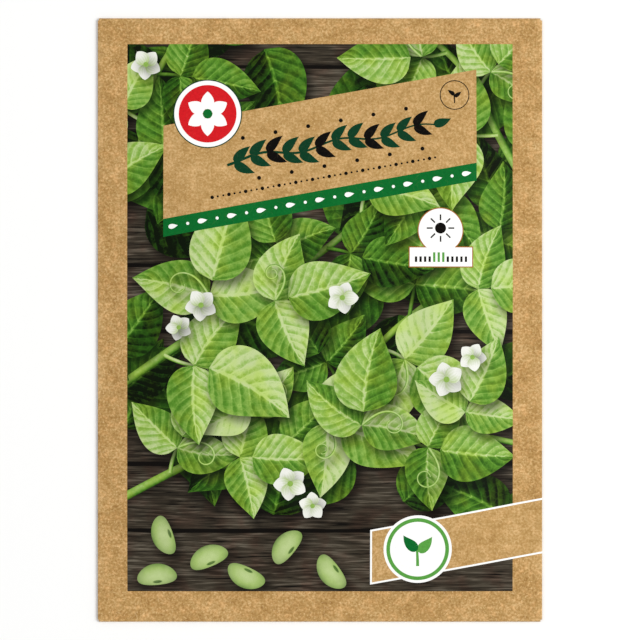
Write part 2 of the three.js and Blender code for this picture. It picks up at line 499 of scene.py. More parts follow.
def petal_halves(half, lean, fullness, count=16):
    """Half widths of a petal, widest just before its middle and round at both ends."""
    return half * np.sin(math.pi * np.linspace(0, 1, count) ** lean) ** fullness


class Picture:
    """The printed picture: bean foliage and blossom climbing over dark boards, drawn in layers."""

    vines = (
        ((-57, -50), (-38, -40), (-18, -31), (4, -18), (22, -1), (40, 12), (57, 20)),
        ((-57, -20), (-40, -8), (-22, 4), (-4, 15), (14, 30), (30, 50)),
        ((-34, -38), (-12, -40), (10, -36), (32, -30), (57, -34)),
        ((-57, 24), (-49, 44), (-46, 62), (-36, 80)),
        ((57, 34), (48, 50), (40, 66), (26, 80)),
    )
    blossoms = (  # middle and radius
        ((-8, -44), 4.6), ((-2, -50), 3.8), ((34, -16), 4.8), ((41, -10), 3.9),
        ((-32, 4), 4.4), ((-38, -2), 3.6), ((-47, 69), 4.2), ((6, 6), 4.4))
    seeds = (  # middle and heading
        ((-30, -64), 0.4), ((-42, -58), 1.9), ((-20, -69), 2.7),
        ((-9, -61), 0.9), ((3, -68), 2.2), ((-44, -69), 0.1))
    seed_halves = (5.4, 2.9)
    leaflets = ((1.35, 0.84), (-1.35, 0.84), (0.0, 1.0))  # turn from the stalk, and share of the leaf's size
    stalk_share, tip_share = 0.34, 0.16  # of a leaf's size: its stalk, and the stalk of its middle leaflet
    vine_widths, stalk_widths, tendril_widths = (2.3, 1.5), (1.1, 0.9), (0.75, 0.3)
    tendril_span = 22.0
    petals, blossom_turns = 5, (0, 6.28)
    first_node, node_step = 5.0, 13.0  # along a vine
    back_leaves = 60
    bare_below = -57.0  # under this height the boards show
    leaf_reach = 1.4  # from a leaf's node to its tip, in leaf sizes
    near_share, near_leaf, far_leaf = 0.55, ("front", 0.7), ("leaves", 0.34)  # layer and tint
    tendril_share = 0.7  # of the near leaves
    picture_draws = 40  # starts the picture's random draws
    layer_names = ("back", "stems", "leaves", "front", "blossom")

    def __init__(self, low, high, leaf_size):
        self.low, self.high = low, high
        self.leaf_size = leaf_size
        self.draws = np.random.default_rng(self.picture_draws)
        self.layers = {name: [] for name in self.layer_names}

    def either(self, share, first, second):
        """The first of two things in this share of the draws."""
        return first if self.draws.uniform() < share else second

    def blade(self, layer, ink, spine, halves, tint, casts):
        self.layers[layer].append(Blade(ink, spine, halves, tint=tint, casts=casts, in_picture=True))

    def leaflet(self, layer, base, heading, span, tint):
        spine = arc_spine(base, heading, span, self.draws.uniform(-0.5, 0.5))
        self.blade(layer, "leaf", spine, leaf_halves(span * self.draws.uniform(0.62, 0.74)), tint, 0.78)

    def stem(self, layer, spine, widths, tint=0.7):
        self.blade(layer, "stem", spine, np.linspace(*widths, len(spine)) / 2, tint, 0.5)

    def bean_leaf(self, layer, node, heading, size, tint):
        """Three leaflets at the end of one stalk, some with a tendril."""
        stalk = arc_spine(node, heading, size * self.stalk_share, self.draws.uniform(-0.5, 0.5), 8)
        self.stem("stems", stalk, self.stalk_widths, tint + 0.12)
        tip, facing = stalk[-1], heading_at(stalk, -1)
        for turn, share in self.leaflets:
            base = tip + unit(facing) * size * (0 if turn else self.tip_share)
            lean = turn + self.draws.uniform(-0.16, 0.16)
            self.leaflet(layer, base, facing + lean, size * share, tint + self.draws.uniform(-0.07, 0.07))
        if layer == "front" and self.either(self.tendril_share, True, False):
            side = self.either(0.5, 1, -1)
            self.tendril(tip, facing + side * 0.75, side * self.draws.uniform(5, 9))

    def tendril(self, base, heading, curl):
        """A thin stem that winds up ever tighter."""
        t = np.linspace(0, 1, 60)
        steps = unit(heading + curl * t ** 2.2) * self.tendril_span / len(t)
        self.stem("front", base + np.cumsum(steps, 0), self.tendril_widths, 0.82)

    def blossom(self, centre, radius, facing):
        """A ring of petals round a small heart."""
        for number in range(self.petals):
            heading = facing + number * TURN / self.petals
            spine = arc_spine(centre, heading, radius, self.draws.uniform(-0.2, 0.2), 16)
            halves = petal_halves(radius * 0.46, 0.8, 0.7)
            self.blade("blossom", "petal", spine, halves, self.draws.uniform(0.4, 0.7), 0.35)
        self.layers["blossom"].append(Disc("heart", centre, radius * 0.17, in_picture=True))

    def back_foliage(self):
        """Dark leaves that fill the ground behind the vines."""
        for _ in range(self.back_leaves):
            base = self.draws.uniform(self.low - 6, self.high + 2)
            heading = self.draws.uniform(0, TURN)
            size = self.leaf_size * self.draws.uniform(0.8, 1.1)
            tint = self.draws.uniform(0.03, 0.26)
            if min(base[1], (base + size * unit(heading))[1]) > self.bare_below:
                self.leaflet("back", base, heading, size, tint)

    def vine(self, stations, side):
        """A climbing stem with leaves on either side in turn, near ones light and far ones dark."""
        spine = smooth_spine(stations)
        self.stem("stems", spine, self.vine_widths)
        arc = np.concatenate(((0,), np.cumsum(np.linalg.norm(np.diff(spine, axis=0), axis=1))))
        for place in np.arange(self.first_node, arc[-1], self.node_step):
            index = int(np.searchsorted(arc, place))
            node = spine[index]
            layer, tint = self.either(self.near_share, self.near_leaf, self.far_leaf)
            size = self.leaf_size * self.draws.uniform(0.72, 1.02)
            heading = heading_at(spine, index) + side * self.draws.uniform(0.7, 1.25)
            tint = tint + self.draws.uniform(-0.1, 0.1)
            if (node + self.leaf_reach * size * unit(heading))[1] > self.bare_below:
                self.bean_leaf(layer, node, heading, size, tint)
            side = -side

    def draw(self):
        """Every shape of the picture, the lowest first."""
        self.back_foliage()
        for number, stations in enumerate(self.vines):
            self.vine(stations, 1 if number % 2 else -1)
        for centre, radius in self.blossoms:
            self.blossom(np.array(centre, float), radius, self.draws.uniform(*self.blossom_turns))
        seeds = [PrintedBean(centre, heading, self.seed_halves, casts=0.7, in_picture=True)
                 for centre, heading in self.seeds]
        return seeds + [motif for layer in self.layers.values() for motif in layer]


def plain_leaf(ink, base, heading, span, width, bend=0.0, count=14):
    """A leaf in one flat ink."""
    return Blade(ink, arc_spine(base, heading, span, bend, count), leaf_halves(width, count))


def plain_line(ink, base, heading, span, start_half, end_half, bend=0.0, count=14):
    """A thin line in one flat ink."""
    return Blade(ink, arc_spine(base, heading, span, bend, count), np.linspace(start_half, end_half, count))


class Front:
    """The printed front, from the boards of the picture up to the badge and the seal.

    Places are in millimetres from the packet's middle, and those on the banner are before its slant.
    """

    upright = math.pi / 2

    def __init__(self, layout, blank):
        self.layout = layout
        self.lean = math.atan(layout.slant)
        half_width, half_height = blank.sizes.width / 2, blank.sizes.height / 2
        self.low = np.array((layout.side_margin - half_width, layout.bottom_margin - half_height))
        self.high = np.array((half_width - layout.side_margin, half_height - layout.top_margin))
        fold = blank.folds[1]
        self.band_end = fold.line + math.pi * fold.radius

    def slanted(self, across, up):
        """Points on the slant of the banner: so far from the middle, so far up."""
        return np.stack((across, up + self.layout.slant * across), -1)

    def bar(self, ink, left, right, bottom, top):
        """A slanted bar with upright ends."""
        return Motif(ink, self.slanted(*rectangle(left, bottom, right, top).T))

    def sprig(self):
        """A leafy sprig along the banner, with small berries between its leaves."""
        level, sway, waves, berry_rise = 47.0, 0.9, 0.3, 5.8
        start, stop, leaf_start, leaf_stop, leaf_step = -25.0, 31.0, -23.0, 29.5, 4.4

        def stalk(x):
            """Points on the sprig's wavy stalk."""
            return self.slanted(x, level + sway * np.sin(x * waves))

        spine = smooth_spine(stalk(np.linspace(start, stop, 24)))
        shapes = [Blade("sprig", spine, np.linspace(0.38, 0.2, len(spine)))]
        for number, x in enumerate(np.arange(leaf_start, leaf_stop, leaf_step)):
            ink = "black" if number % 3 == 2 else "sprig"
            span = 6.2 - 0.06 * number
            shapes += [plain_leaf(ink, stalk(x), self.lean + turn, span, span * 0.42, -0.5 * turn)
                       for turn in (0.85, -0.85)]
        shapes.append(plain_leaf("sprig", stalk(stop - 0.4), self.lean, 5.0, 2.4, 0.3))
        berries = np.arange(leaf_start + leaf_step / 2, leaf_stop - 0.5, leaf_step)
        return shapes + [
            Disc("black", self.slanted(x, level - berry_rise if number % 2 else level + berry_rise), 0.55)
            for number, x in enumerate(berries)]

    def sprout_ring(self):
        """A thin ring with a sprout, in the banner's upper corner."""
        centre, radius, line = np.array((36.3, 60.7)), 4.0, 0.25
        shapes = [Disc("black", centre, radius), Disc("banner", centre, radius - line)]
        shapes.append(plain_line("black", centre - (0, 2.2), self.upright, 3.2, 0.16, 0.16, 0.25))
        return shapes + [plain_leaf("black", centre - (0, drop), heading, 2.3, 1.1)
                         for drop, heading in ((0.5, 0.65), (0.0, math.pi - 0.65))]

    def banner(self):
        """The slanted banner with its sprig and dotted rule, over a green strip of leaves and dots."""
        layout = self.layout
        half, strip_middle = layout.banner_half, (layout.strip_bottom + layout.strip_top) / 2
        rule_level, leaf_span = 38.2, 2.6
        shapes = [self.bar("banner", -half, half, layout.strip_top, layout.banner_top),
                  self.bar("strip", -half, half, layout.strip_bottom, layout.strip_top)]
        shapes += self.sprig()
        shapes += [Disc("black", self.slanted(x, rule_level), 0.28 if number % 3 else 0.5)
                   for number, x in enumerate(np.arange(-29, 31.5, 1.5))]
        for number, x in enumerate(np.arange(-39.5, 40, 3.95)):
            if number % 2:
                shapes.append(Disc("white", self.slanted(x, strip_middle), 0.42))
            else:
                base = self.slanted(x - leaf_span / 2, strip_middle)
                shapes.append(plain_leaf("white", base, self.lean, leaf_span, leaf_span / 2))
        return shapes + self.sprout_ring()

    def roundel(self):
        """A plain red roundel with a white flower of six petals."""
        centre, radius, petals = np.array((-30.3, 55.6)), self.layout.roundel_radius, 6
        shapes = [Disc("sprig", centre, radius), Disc("white", centre, radius - 0.3),
                  Disc("red", centre, radius - 1.5)]
        for number in range(petals):
            heading = self.upright + number * TURN / petals
            spine = arc_spine(centre + unit(heading) * 0.9, heading, radius * 0.55, 0, 16)
            shapes.append(Blade("white", spine, petal_halves(1.75, 0.85, 0.8)))
        return shapes + [Disc("strip", centre, 1.3)]

    def badge(self):
        """A white badge: a sun over a bar of twelve ticks, three of them tall and green."""
        centre, radius, rim = np.array((32.4, 24.1)), 5.9, 0.27
        plate = np.array((24.1, 14.4, 40.9, 19.5))
        outwards = np.array((-1, -1, 1, 1))
        sun, rays = centre + (0, 0.6), 8
        tick_start, tick_bottom, tick_width, tick_step = 25.5, 15.6, 0.62, 1.22
        shapes = [Disc("brown", centre, radius + rim), Motif("brown", rectangle(*(plate + rim * outwards))),
                  Disc("white", centre, radius), Motif("white", rectangle(*plate)), Disc("black", sun, 1.5)]
        shapes += [plain_line("black", sun + unit(turn) * 2.1, turn, 1.6, 0.2, 0.2, count=6)
                   for turn in np.arange(rays) * TURN / rays]
        for month in range(12):
            ink, height = ("seal", 2.6) if 4 <= month <= 6 else ("black", 1.5)
            x = tick_start + month * tick_step
            shapes.append(Motif(ink, rectangle(x, tick_bottom, x + tick_width, tick_bottom + height)))
        return shapes

    def band(self):
        """The paper-coloured band that runs off the right edge, and the round seal on its end."""
        left, bottom, top, line = 14.0, -73.8, -58.85, 0.5
        centre, radius = np.array((26.3, -61.7)), self.layout.seal_radius
        shapes = [self.bar("white", left - line, self.band_end, bottom, top),
                  self.bar("banner", left, self.band_end, bottom + line, top - line)]
        shapes += [Disc(ink, centre, radius - inset)
                   for ink, inset in (("white", 0), ("seal", 0.75), ("white", 1.75))]
        shapes.append(plain_line("seal", centre - (0, 4.6), self.upright, 5.0, 0.42, 0.3, 0.1))
        return shapes + [
            plain_leaf(ink, centre - (0, drop), heading, 5.6, 2.9, bend, 18)
            for ink, drop, heading, bend in (("seal", 0.6, 0.55, 0.5), ("strip", 0.2, math.pi - 0.55, -0.5))]

    def motifs(self):
        """Every printed shape, the lowest first."""
        boards = Motif("boards", rectangle(*self.low, *self.high), framed=True)
        picture = Picture(self.low, self.high, self.layout.leaf_size).draw()
        return [boards] + picture + self.banner() + self.roundel() + self.badge() + self.band()


def clipped(starts, stops, low, high):
    """The parts of straight lines that lie in a window."""
    run = stops - starts
    enter, leave = np.zeros(len(starts)), np.ones(len(starts))
    for axis in range(2):
        safe = np.where(np.abs(run[:, axis]) < 1e-12, 1e-12, run[:, axis])
        first = (low[axis] - starts[:, axis]) / safe
        second = (high[axis] - starts[:, axis]) / safe
        enter = np.maximum(enter, np.minimum(first, second))
        leave = np.minimum(leave, np.maximum(first, second))
    kept = enter < leave - 1e-6
    return (starts + enter[:, None] * run)[kept], (starts + leave[:, None] * run)[kept]


class PrintedMesh:
    """The blank cut along its folds and its print, with an ink for each triangle."""

    fold_step = 2.5
    picture_step, border_step, back_step = 1.25, 2.4, 6.0
    row_share = 0.866  # between two staggered rows of points, as a share of their step
    fold_margin = 2.0  # past the front, where the folds bring points of their own
    covered_at = (0.02, 0.5, 0.98)  # places along a line at which it is tested for lying under other shapes
    merge_distance = 1e-4
    least_area = 1e-7
    front_share = 0.93  # how much of a texture's height the front takes
    texture_gap = 0.006  # between two panels on a texture
    cut_width = 0.4  # how wide the paper's cut edge is drawn on a texture
    crease_turn = 1.5  # how far round a fold its rubbed line lies, in radians
    rubbed_width = 0.45
    shadow_offset = np.array((0.9, -1.3))
    shadow_blur = 2.4

    def __init__(self, blank, front):
        self.blank = blank
        self.front = front
        self.motifs = front.motifs()
        self.points, self.edges = [], []
        picture, panel = (front.low, front.high), (blank.low, blank.high)
        past_folds = (blank.low - self.fold_margin, blank.high + self.fold_margin)
        for start, stop in blank.lines():
            self.add_line(start, stop)
        self.cut_motifs()
        self.scatter(self.picture_step, picture)
        self.scatter(self.border_step, panel, hole=picture)
        self.scatter(self.back_step, (blank.free_low, blank.free_high), hole=past_folds)
        self.triangulate()
        self.ink_triangles()

    def add_line(self, start, stop):
        """Adds a straight line that the triangles have to keep."""
        start, stop = np.asarray(start, float), np.asarray(stop, float)
        count = max(1, int(np.linalg.norm(stop - start) / self.fold_step))
        first = len(self.points)
        self.points += [start + (stop - start) * share for share in np.linspace(0, 1, count + 1)]
        self.edges += [(first + i, first + i + 1) for i in range(count)]

    def hidden(self, number, points):
        """Which points of a shape lie under shapes printed later."""
        found = np.zeros(len(points), bool)
        low, high = points.min(0), points.max(0)
        for upper in self.motifs[number + 1:]:
            if (upper.low < high).all() and (upper.high > low).all():
                found |= upper.holds(points)
        return found

    def cut_motifs(self):
        """Adds the visible outline of every shape."""
        sheet = (self.blank.low, np.array((self.front.band_end, self.blank.end)))
        for number, motif in enumerate(self.motifs):
            window = (self.front.low, self.front.high) if motif.in_picture else sheet
            starts, stops = clipped(motif.outline, np.roll(motif.outline, -1, 0), *window)
            if not len(starts):
                continue
            covered = [self.hidden(number, starts + (stops - starts) * share) for share in self.covered_at]
            for start, stop, under in zip(starts, stops, np.all(covered, 0)):
                if motif.framed or not under:
                    self.add_line(start, stop)

    def scatter(self, step, window, hole=None):
        """Loose points in staggered rows, which let the paper curve and the print shade softly."""
        (left, bottom), (right, top) = window
        for number, v in enumerate(np.arange(bottom + step / 2, top, step * self.row_share)):
            shift = step / 2 if number % 2 else 0
            row = np.arange(left + step / 2 + shift, right, step)
            row = np.column_stack((row, np.full(len(row), v)))
            if hole:
                row = row[~within(row, *hole)]
            self.points += list(row[self.blank.holds(row)])

    def triangulate(self):
        """Cuts the blank into triangles along its lines, all turned the same way."""
        points = [tuple(point) for point in self.points]
        verts, _, faces, *_ = delaunay_2d_cdt(points, self.edges, [], 0, self.merge_distance, False)
        self.places = np.array([tuple(v) for v in verts])
        triangles = np.array(faces)
        a, b, c = self.places[triangles].transpose(1, 0, 2)
        area = (b - a)[:, 0] * (c - a)[:, 1] - (b - a)[:, 1] * (c - a)[:, 0]
        triangles[area < 0] = triangles[area < 0][:, ::-1]
        self.triangles = triangles[self.blank.holds((a + b + c) / 3) & (np.abs(area) > self.least_area)]
        self.middles = self.places[self.triangles].mean(1)

    def ink_triangles(self):
        """Gives each triangle the topmost shape over it, with its coordinates, tint and printed shadow."""
        owner = np.full(len(self.middles), -1)
        on_picture = within(self.middles, self.front.low, self.front.high)
        for number, motif in enumerate(self.motifs):
            inside = motif.holds(self.middles)
            owner[inside & on_picture if motif.in_picture else inside] = number
        self.inks = np.array([motif.ink for motif in self.motifs] + ["kraft"])[owner]
        self.motif_coordinates = np.zeros((len(owner), 3, 3))
        self.shade = np.zeros((len(owner), 3))
        for number, motif in enumerate(self.motifs):
            mine = owner == number
            if not mine.any():
                continue
            points = self.places[self.triangles[mine]].reshape(-1, 2)
            values = np.column_stack((*motif.coordinates(points), np.full(len(points), motif.tint)))
            self.motif_coordinates[mine] = values.reshape(-1, 3, 3)
            if motif.in_picture or motif.ink == "boards":
                self.shade[mine] = self.shadow(number, points).reshape(-1, 3)

    def shadow(self, number, points):
        """The soft shadow that the shapes drawn over this one throw on it."""
        light = np.ones(len(points))
        shifted = points - self.shadow_offset
        for upper in self.motifs[number + 1:]:
            if not upper.casts:
                continue
            near = upper.near(shifted, self.shadow_blur)
            if near.any():
                depth = upper.depth(shifted[near])
                light[near] *= 1 - upper.casts * eased((depth + self.shadow_blur) / (1.5 * self.shadow_blur))
        return 1 - light

    def rim(self):
        """The sheet's cut edges as pairs of points, and the triangle that each one ends."""
        pairs = np.concatenate([self.triangles[:, ends] for ends in ((0, 1), (1, 2), (2, 0))])
        _, index, uses = np.unique(np.sort(pairs, 1), axis=0, return_index=True, return_counts=True)
        alone = index[uses == 1]
        return pairs[alone], alone % len(self.triangles)

    def texture_layout(self):
        """A layout of the mesh on one square texture, corner by corner, for the outer, inner and cut faces.

        The front is large, the back panels and flaps lie beside it at a smaller size, and the inside at the
        smallest. A cut face lies just outside the panel that it ends.
        """
        blank, gap = self.blank, self.texture_gap
        panels = blank.panels()
        front, left, right, bottom, top = [high - low for low, high in panels]
        front_scale = (self.front_share - 2 * gap) / front[1]
        column = 2 * gap + front_scale * front[0]
        room = 1 - column - gap
        back_scale = (room - gap) / (left[0] + right[0])
        inside_scale = room / (blank.free_high - blank.free_low)[0]
        flap_level = 2 * gap + back_scale * left[1]
        top_level = flap_level + gap + back_scale * bottom[1]
        inside_level = top_level + gap + back_scale * top[1]
        corners = ((gap, gap), (column, gap), (column + back_scale * left[0] + gap, gap),
                   (column, flap_level), (column, top_level))
        rim, rim_triangles = self.rim()
        start, stop = self.places[rim.T]
        run = stop - start
        outwards = np.column_stack((run[:, 1], -run[:, 0]))
        outwards *= self.cut_width / np.linalg.norm(run, axis=1, keepdims=True)
        ring = np.stack((stop, start, start + outwards, stop + outwards), 1)
        outer, cuts = np.zeros((len(self.triangles), 3, 2)), np.zeros((len(rim), 4, 2))
        for (low, high), corner, scale in zip(panels, corners, (front_scale, *[back_scale] * 4)):
            mine = within(self.middles, low, high)
            move = corner - scale * low
            outer[mine] = self.places[self.triangles[mine]] * scale + move
            cuts[mine[rim_triangles]] = ring[mine[rim_triangles]] * scale + move
        inner = self.places[self.triangles[:, ::-1]] - blank.free_low
        inner = inner * inside_scale + (column, inside_level)
        return np.concatenate([part.reshape(-1, 2) for part in (outer, inner, cuts)])

    def wear(self):
        """How near each corner lies to one of the four folds."""
        gaps = [np.abs(fold.away * self.places[:, fold.axis] - fold.line - self.crease_turn * fold.radius)
                for fold in self.blank.folds]
        return np.exp(-np.min(gaps, 0) / self.rubbed_width)[self.triangles]


class Value:
    """What a node gives out. It is reckoned with like a number, and each step adds a node."""

    def __init__(self, finish, socket):
        self.finish, self.socket = finish, socket

    def __add__(self, other):
        return self.finish.math("ADD", self, other)

    def __sub__(self, other):
        return self.finish.math("SUBTRACT", self, other)

    def __rsub__(self, other):
        return self.finish.math("SUBTRACT", other, self)

    def __mul__(self, other):
        return self.finish.math("MULTIPLY", self, other)

    def __abs__(self):
        return self.finish.math("ABSOLUTE", self)

    __rmul__ = __mul__

    def rise(self, start, stop):
        """A smooth step from 0 at one level to 1 at the other, which may be the lower one."""
        return self.finish.node("MapRange", {"Value": self, "From Min": start, "From Max": stop},
                                interpolation_type="SMOOTHSTEP")

    def spread(self, low, high):
        """The values from 0 to 1, moved to run from one level to the other."""
        return self.finish.node("MapRange", {"Value": self, "To Min": low, "To Max": high})


class Finish:
    """A material in the making, from one node to the next."""

    def __init__(self, name):
        self.material = bpy.data.materials.new(name)
        self.material.use_nodes = True
        self.tree = self.material.node_tree
        self.shader = self.tree.nodes["Principled BSDF"]

    def feed(self, socket, value):
        """Links what a node gives out to a socket, or sets a constant on it."""
        if isinstance(value, Value):
            self.tree.links.new(value.socket, socket)
        elif socket.type == "RGBA":
            socket.default_value = (*value, 1.0)
        else:
            socket.default_value = value

    def make(self, kind, inputs, **settings):
        """Adds a node."""
        node = self.tree.nodes.new("ShaderNode" + kind)
        for key, value in settings.items():
            setattr(node, key, value)
        for key, value in inputs.items():
            self.feed(node.inputs[key], value)
        return node

    def node(self, kind, inputs, output=0, **settings):
        """Adds a node, and gives back what it gives out."""
        return Value(self, self.make(kind, inputs, **settings).outputs[output])

    def math(self, operation, a, b=0.0):
        return self.node("Math", {0: a, 1: b}, operation=operation)

    def greatest(self, *values):
        return reduce(lambda a, b: self.math("MAXIMUM", a, b), values)

    def attribute(self, name, output="Fac"):
        return self.node("Attribute", {}, output, attribute_name=name)

    def blank(self):
        """Places on the flat blank."""
        return self.node("UVMap", {}, uv_map="blank")

    def split(self, vector):
        return [Value(self, output) for output in self.make("SeparateXYZ", {0: vector}).outputs]

    def motif(self):
        """How far along and across its own shape a place lies, and the shape's tint."""
        return self.split(self.attribute("motif", "Vector"))

    def noise(self, vector, scale, detail=2.0, roughness=0.5, distortion=0.0):
        return self.node("TexNoise", {"Vector": vector, "Scale": scale, "Detail": detail,
                                      "Roughness": roughness, "Distortion": distortion}, "Fac")

    def uneven(self, vector, scale, detail=2.0, roughness=0.5):
        """Noise that strays to either side of 0."""
        return self.noise(vector, scale, detail, roughness) - 0.5

    def strands(self, vector, angle, along, across, detail=2.0):
        """Noise drawn out into strands that run at an angle."""
        turned = self.node("Mapping", {"Vector": vector, "Rotation": (0, 0, angle)})
        scaled = self.node("Mapping", {"Vector": turned, "Scale": (along, across, 1)})
        return self.noise(scaled, 1.0, detail, 0.55, 0.4)

    def mix(self, factor, a, b, blend="MIX"):
        return self.node("Mix", {0: factor, 6: a, 7: b}, 2, data_type="RGBA", blend_type=blend)

    def ramp(self, value, *stops):
        """A colour for each value, blended from stop to stop."""
        node = self.make("ValToRGB", {0: value})
        elements = node.color_ramp.elements
        while len(elements) < len(stops):
            elements.new(0.5)
        for element, (position, shade) in zip(elements, stops):
            element.position = position
            element.color = (*shade, 1.0)
        return Value(self, node.outputs[0])

    def surface(self, base, roughness, height, depth, **constants):
        """Closes the material: its colour, its roughness and a fine relief so many millimetres deep."""
        relief = self.node("Bump", {"Height": height, "Distance": depth * MM, "Strength": 1.0})
        inputs = {"Base Color": base, "Roughness": roughness, "Normal": relief}
        inputs.update({name.replace("_", " "): value for name, value in constants.items()})
        for name, value in inputs.items():
            self.feed(self.shader.inputs[name], value)
        return self.material


class PaperGrain:
    """Mottling, fibres and flecks of the paper, which every ink on it shares."""

    fibre_runs = ((0.3, 34, 300), (1.35, 38, 280), (2.4, 30, 320))  # angle, and fineness along and across

    def __init__(self, finish):
        blank = finish.blank()
        self.mottle = finish.noise(blank, 150, 4, 0.62)
        self.patch = finish.noise(blank, 48)
        self.cloud = finish.noise(blank, 16)
        strands = [finish.strands(blank, *run) for run in self.fibre_runs]
        self.fibres = finish.greatest(*strands).rise(0.6, 0.78)
        specks = finish.noise(blank, 230, 1)
        self.dark_fleck = specks.rise(0.66, 0.76)
        self.pale_fleck = specks.rise(0.36, 0.28)
        self.height = self.mottle + 0.5 * self.fibres


def glued_and_cut(finish, blank):
    """Where the paper is glued on its other side, and where it is cut, both as shares from 0 to 1."""
    places = finish.split(finish.blank())
    glue, frayed = blank.glue_depth / UV_SPAN, blank.frayed_depth / UV_SPAN
    depths = [-fold.away * (places[fold.axis] - fold.free / UV_SPAN) for fold in blank.folds]
    glued = finish.greatest(*[depth.rise(glue, 0.9 * glue) for depth in depths])
    return glued, finish.greatest(*[depth.rise(frayed, 0.0) for depth in depths])


def kraft_finish(name, inks, blank, contrast=1.0, lift=0.0):
    """Mottled brown paper with pale fibres and dark flecks, rubbed paler at its folds and cut edges.

    A lower contrast makes the paper calmer, and a lift makes it lighter.
    """
    finish = Finish(name)
    grain = PaperGrain(finish)
    glued, cut = glued_and_cut(finish, blank)
    cockle = glued * finish.noise(finish.blank(), 34)
    rubbed = finish.attribute("wear") * grain.cloud.rise(0.35, 0.7)
    tone = 0.56 * grain.mottle + 0.26 * grain.patch + 0.18 * grain.cloud
    middle = 0.5 - lift
    base = finish.ramp(tone, (middle - 0.145 / contrast, inks.kraft_dark), (middle, inks.kraft),
                       (middle + 0.155 / contrast, inks.kraft_light))
    warm = 0.5 * contrast ** 2 * grain.patch.rise(0.35, 0.75)
    base = finish.mix(warm, base, inks.kraft_warm, "COLOR")
    for share, shade in (
            (0.5 * contrast * grain.fibres, inks.kraft_light),
            (0.4 * contrast * grain.dark_fleck, inks.kraft_dark),
            (0.7 * contrast * grain.pale_fleck, inks.kraft_light),
            (0.35 * rubbed, inks.kraft_light),
            (0.3 * cockle, inks.kraft_dark),
            (0.6 * cut, inks.kraft_light)):
        base = finish.mix(share, base, shade)
    height = grain.height + 3.0 * cockle
    return finish.surface(base, grain.mottle.spread(0.68, 0.86), height, 0.06, Specular_IOR_Level=0.12)


def ink_finish(name, shade, inks):
    """A plain ink that lets a little of the paper's grain through."""
    finish = Finish(name)
    grain = PaperGrain(finish)
    darkening = 0.96 if min(shade) > 0.6 else 0.8
    base = finish.mix(grain.mottle.rise(0.35, 0.75), shade, [darkening * part for part in shade])
    base = finish.mix(0.025 * grain.fibres, base, inks.kraft_light)
    return finish.surface(base, grain.mottle.spread(0.5, 0.68), grain.height, 0.04, Specular_IOR_Level=0.05)


def printed_finish(name, tone_of, stops, drift, shadow):
    """An ink of the picture: a tone gives its colour, which drifts in hue and darkens in printed shadow."""
    finish = Finish(name)
    grain = PaperGrain(finish)
    base = finish.ramp(tone_of(finish), *stops)
    base = finish.mix(0.5 * grain.cloud.rise(0.4, 0.7), base, drift, "COLOR")
    base = finish.mix(finish.attribute("shade"), base, shadow)
    return finish.surface(base, grain.mottle.spread(0.46, 0.64), grain.height, 0.04, Specular_IOR_Level=0.05)


def leaf_tone(finish):
    """Lightness of a printed leaf: its own tint, its veins, the swell between them and its lit half."""
    along, across, tint = finish.motif()
    blank = finish.blank()
    out = abs(across)
    row = 8.0 * (along - 0.24 * out) + 0.5 * finish.noise(blank, 14, 1)
    to_vein = 0.5 - abs(finish.math("FRACT", row) - 0.5)
    vein = to_vein.rise(0.13, 0.02) * (1 - 0.75 * out)
    rib = out.rise(0.09, 0.02)
    net = finish.node("TexVoronoi", {"Vector": blank, "Scale": 62}, "Distance", feature="DISTANCE_TO_EDGE")
    swell = finish.math("SINE", TURN * row) * finish.math("SIGN", across)
    lit_half = across.rise(-0.3, 0.3) - 0.5
    rim = out.rise(0.82, 1.0)
    return (tint + 0.18 * vein + 0.27 * rib + 0.06 * net.rise(0.14, 0.0) + 0.075 * swell + 0.3 * lit_half
            + 0.5 * finish.uneven(blank, 46, 4, 0.6) + 0.06 * rim)


def stem_tone(finish):
    """Lightness of a printed stem: round, brightest to one side of its middle, and faintly mottled."""
    _, across, tint = finish.motif()
    from_light = across - 0.3
    return tint + 0.12 - 0.34 * (from_light * from_light) + 0.3 * finish.uneven(finish.blank(), 90, 3, 0.6)


def board_tone(finish):
    """Lightness of the printed boards: long grain, darker lines and a dark gap between two boards."""
    blank = finish.blank()
    _, up, _ = finish.split(blank)
    board = 5.6 * (up + 0.031)
    gap = abs(finish.math("FRACT", board) - 0.5).rise(0.455, 0.49)
    own = finish.node("TexWhiteNoise", {"W": finish.math("FLOOR", board)}, "Value", noise_dimensions="1D")
    grain = finish.strands(blank, 0.0, 11, 190, 4)
    bands = finish.strands(blank, 0.02, 3, 46, 3)
    cracks = finish.strands(blank, 0.0, 6, 120, 3).rise(0.6, 0.7)
    return 1.6 * grain + 0.6 * bands + 0.2 * own - 0.4 * cracks - 0.8 * gap - 0.7


def petal_tone(finish):
    """Lightness of a printed petal: pale at its edge, flushed and lined towards the heart."""
    along, across, tint = finish.motif()
    lines = finish.math("SINE", 18.0 * across)
    return (0.75 * along + 0.3 * tint + 0.05 * lines - 0.12 * abs(across)
            + 0.25 * finish.uneven(finish.blank(), 60, 3))


def bean_tone(finish):
    """Lightness of a printed bean: pale in its middle, darker round its edge, with a small dark eye."""
    along, across, _ = finish.motif()
    reach = along * along + across * across
    eye_along, eye_across = 4.2 * along, 7.0 * (across + 0.55)
    eye = (eye_along * eye_along + eye_across * eye_across).rise(1.4, 0.4)
    return 0.92 - 0.42 * reach - 0.5 * eye + 0.18 * finish.uneven(finish.blank(), 70, 3)


